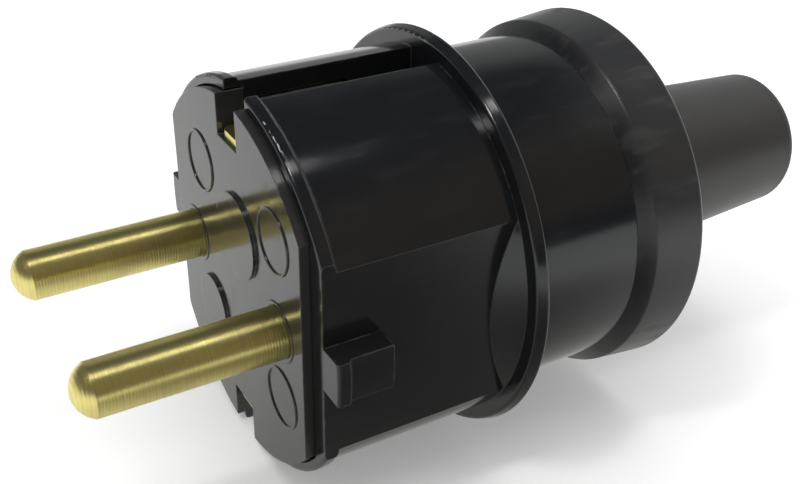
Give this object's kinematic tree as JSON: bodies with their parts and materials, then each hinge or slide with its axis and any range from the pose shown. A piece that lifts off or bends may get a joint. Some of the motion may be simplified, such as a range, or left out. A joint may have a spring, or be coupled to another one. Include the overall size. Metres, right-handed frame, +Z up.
{
  "type": "two-pin mains plug with side earth contacts",
  "caption": "Straight glossy black mains plug with long brass pins, earth grooves, a finger flange and a tapered cord boot.",
  "frame": {"origin": "centre of the pin carrier's front face, midway between the pins", "axes": "+X along the plug from the pins towards the cord boot, +Z up with the plug on its side and an earth groove at the top and bottom, +Y from the near pin to the far pin"},
  "size_m": [0.083, 0.0404, 0.0404],
  "materials": {
    "housing_moulding": "polished black thermoset moulding",
    "carrier_moulding": "polished black thermoset moulding",
    "cap_moulding": "polished black thermoset moulding",
    "boot_rubber": "satin dark grey elastomer",
    "pin_brass": "turned brass with fine circumferential marks",
    "bow_brass": "rolled brass strip",
    "insert_brass": "turned brass",
    "screw_steel": "zinc plated steel",
    "plated_steel": "zinc plated pressed steel",
    "inner_moulding": "dull dark brown moulding",
    "washer_fibre": "vulcanised fibre"
  },
  "bodies": {
    "root": {"housing": "housing_moulding", "pin_carrier": "carrier_moulding", "near_pin": "pin_brass", "far_pin": "pin_brass", "terminal_screws": "screw_steel", "earth_bow": "bow_brass", "earth_nut": "insert_brass", "earth_saddle": "plated_steel", "earth_screw": "screw_steel", "clamp_base": "inner_moulding", "base_screws": "screw_steel", "cord_clamp_bar": "inner_moulding", "cord_clamp_screws": "screw_steel", "cord_clamp_inserts": "insert_brass", "carrier_inserts": "insert_brass", "carrier_screws": "screw_steel", "carrier_screw_washers": "plated_steel", "rear_cap": "cap_moulding", "boot_washer": "washer_fibre", "boot": "boot_rubber"}
  },
  "joints": []
}
